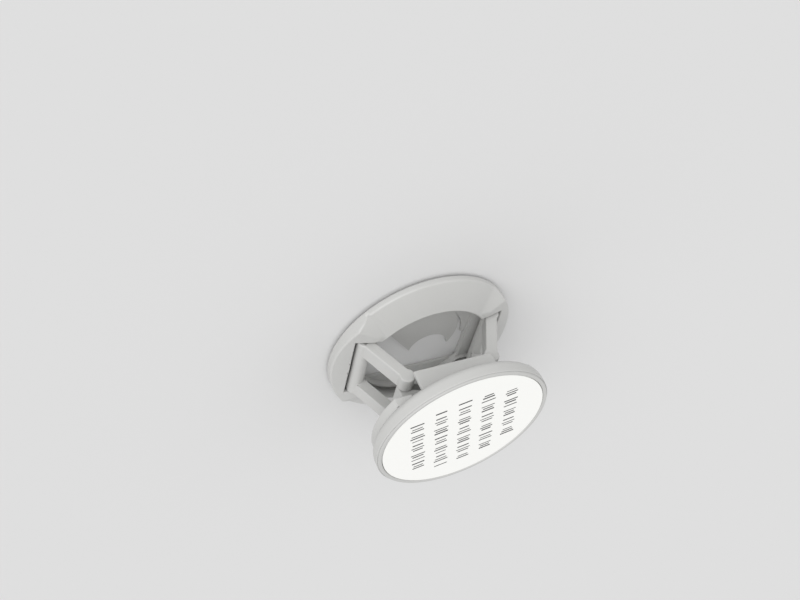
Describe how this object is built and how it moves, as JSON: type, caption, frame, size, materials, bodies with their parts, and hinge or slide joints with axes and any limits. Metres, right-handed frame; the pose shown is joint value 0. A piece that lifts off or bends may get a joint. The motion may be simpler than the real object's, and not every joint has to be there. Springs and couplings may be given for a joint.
{
  "type": "phone grip",
  "caption": "Stick-on folding grip: hinged arms join a round rear disc to a round front disc that pulls out for the fingers and pushes back in.",
  "frame": {"origin": "centre of the adhesive face, which the grip also stands on", "axes": "+Z points away from the adhesive face towards the front disc; the hinge pins run along Y"},
  "size_m": [0.04, 0.04, 0.0235],
  "materials": {
    "plastic": "light grey satin moulded plastic",
    "foam": "light grey foam pad with an adhesive skin",
    "steel": "drawn steel wire",
    "tape": "thin double-sided tape",
    "face": "white plate with a smooth printed film"
  },
  "bodies": {
    "base": {"adhesive_pad": "foam", "base_plate": "plastic", "rear_shell": "plastic", "rear_pin_left": "steel", "rear_pin_right": "steel"},
    "left_arm": {"left_arm": "plastic", "front_pin_left": "steel"},
    "right_arm": {"right_arm": "plastic", "front_pin_right": "steel"},
    "front": {"front_disc": "plastic", "face_tape": "tape", "face_plate": "face"}
  },
  "joints": [
    {"name": "front_slide", "type": "slide", "parent": "base", "child": "front", "axis": [0, 0, -1], "range_m": [0, 0.01049]},
    {"name": "left_arm_hinge", "type": "hinge", "parent": "base", "child": "left_arm", "pos_m": [-0.0141, 0, 0.0031], "axis": [0, 1, 0], "range_deg": [0, 64.01]},
    {"name": "right_arm_hinge", "type": "hinge", "parent": "base", "child": "right_arm", "pos_m": [0.0141, 0, 0.0031], "axis": [0, -1, 0], "range_deg": [0, 64.01]}
  ],
  "couplings": [
    {"joint": "left_arm_hinge", "follows": "front_slide", "rad_per_m": 106.51},
    {"joint": "right_arm_hinge", "follows": "front_slide", "rad_per_m": 106.51}
  ]
}
